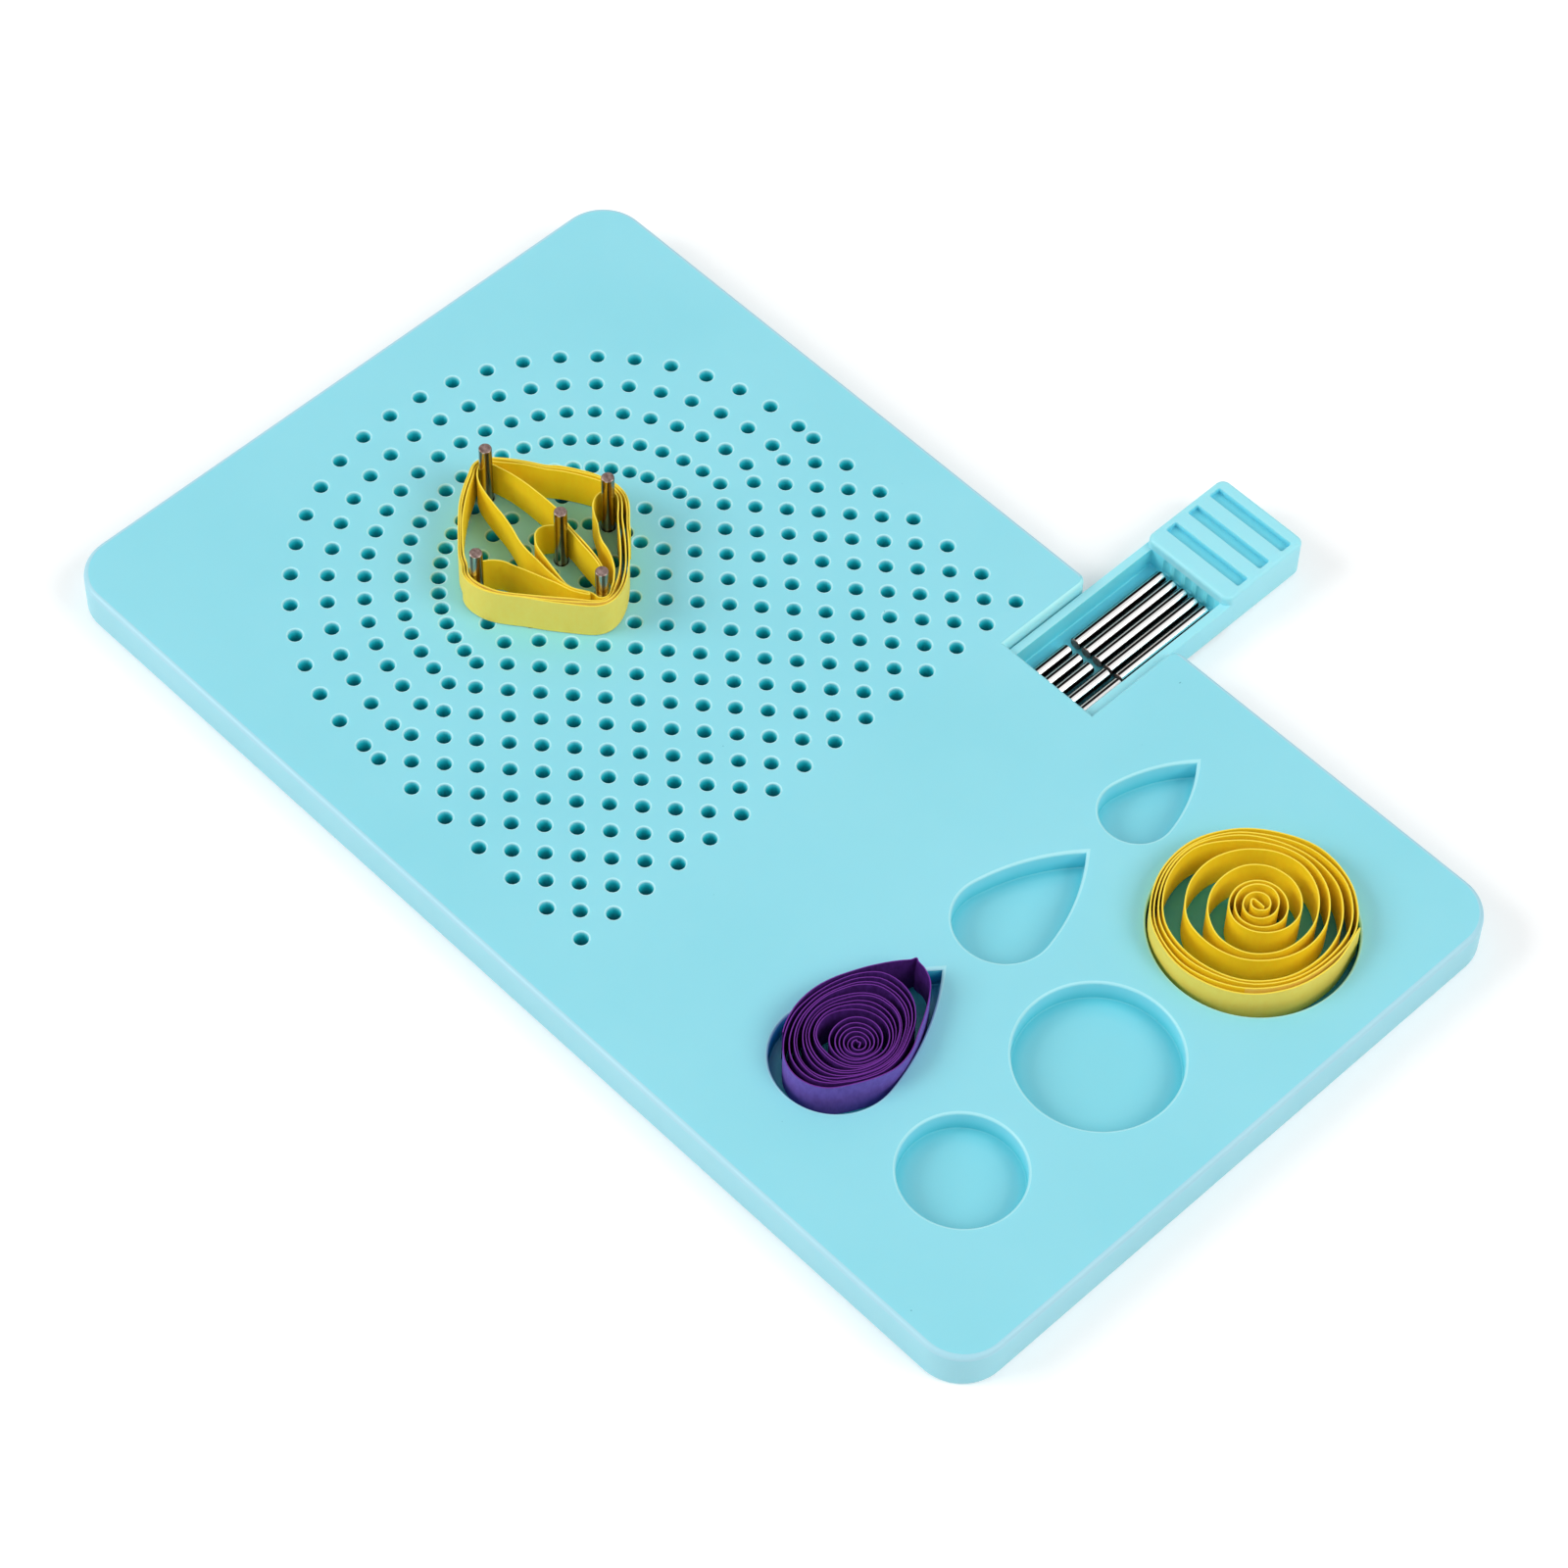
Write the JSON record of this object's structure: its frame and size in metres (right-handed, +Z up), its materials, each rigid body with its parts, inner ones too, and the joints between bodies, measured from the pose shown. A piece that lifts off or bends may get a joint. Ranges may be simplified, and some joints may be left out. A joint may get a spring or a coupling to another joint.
{
  "type": "quilling board",
  "caption": "Flat quilling board with pin holes, round and drop moulds, and a side drawer of steel pins, with paper coils and a woven paper strip at work on it.",
  "frame": {"origin": "on the underside, in the middle of the whole footprint with the drawer out: on the board's mid-length, 11.9 mm from its middle towards the drawer's edge", "axes": "+X along the board towards the moulds, +Y towards the edge that the drawer slides out of, +Z up"},
  "size_m": [0.154, 0.1138, 0.0155],
  "materials": {
    "board_plastic": "satin moulded plastic",
    "pin_steel": "bright drawn wire, duller cut ends",
    "yellow_paper": "matte dyed paper",
    "purple_paper": "matte dyed paper"
  },
  "bodies": {
    "board": {"board": "board_plastic"},
    "drawer": {"pin_drawer": "board_plastic", "stored_pin_1": "pin_steel", "stored_pin_2": "pin_steel", "stored_pin_3": "pin_steel", "stored_pin_4": "pin_steel", "stored_pin_5": "pin_steel", "stored_pin_6": "pin_steel", "stored_pin_7": "pin_steel", "stored_pin_8": "pin_steel", "stored_pin_9": "pin_steel", "stored_pin_10": "pin_steel"},
    "pin_1": {"standing_pin_1": "pin_steel"},
    "pin_2": {"standing_pin_2": "pin_steel"},
    "pin_3": {"standing_pin_3": "pin_steel"},
    "pin_4": {"standing_pin_4": "pin_steel"},
    "pin_5": {"standing_pin_5": "pin_steel"},
    "woven_strip": {"woven_strip": "yellow_paper"},
    "round_coil": {"round_coil": "yellow_paper"},
    "teardrop_coil": {"teardrop_coil": "purple_paper"}
  },
  "joints": [
    {"name": "drawer_slide", "type": "slide", "parent": "board", "child": "drawer", "axis": [0, 1, 0], "range_m": [-0.0238, 0]},
    {"name": "pin_1_lift", "type": "slide", "parent": "board", "child": "pin_1", "axis": [0, 0, 1], "range_m": [0, 0.016]},
    {"name": "pin_2_lift", "type": "slide", "parent": "board", "child": "pin_2", "axis": [0, 0, 1], "range_m": [0, 0.016]},
    {"name": "pin_3_lift", "type": "slide", "parent": "board", "child": "pin_3", "axis": [0, 0, 1], "range_m": [0, 0.016]},
    {"name": "pin_4_lift", "type": "slide", "parent": "board", "child": "pin_4", "axis": [0, 0, 1], "range_m": [0, 0.016]},
    {"name": "pin_5_lift", "type": "slide", "parent": "board", "child": "pin_5", "axis": [0, 0, 1], "range_m": [0, 0.016]},
    {"name": "woven_strip_lift", "type": "slide", "parent": "board", "child": "woven_strip", "axis": [0, 0, 1], "range_m": [0, 0.012]},
    {"name": "round_coil_lift", "type": "slide", "parent": "board", "child": "round_coil", "axis": [0, 0, 1], "range_m": [0, 0.008]},
    {"name": "teardrop_coil_lift", "type": "slide", "parent": "board", "child": "teardrop_coil", "axis": [0, 0, 1], "range_m": [0, 0.008]}
  ]
}
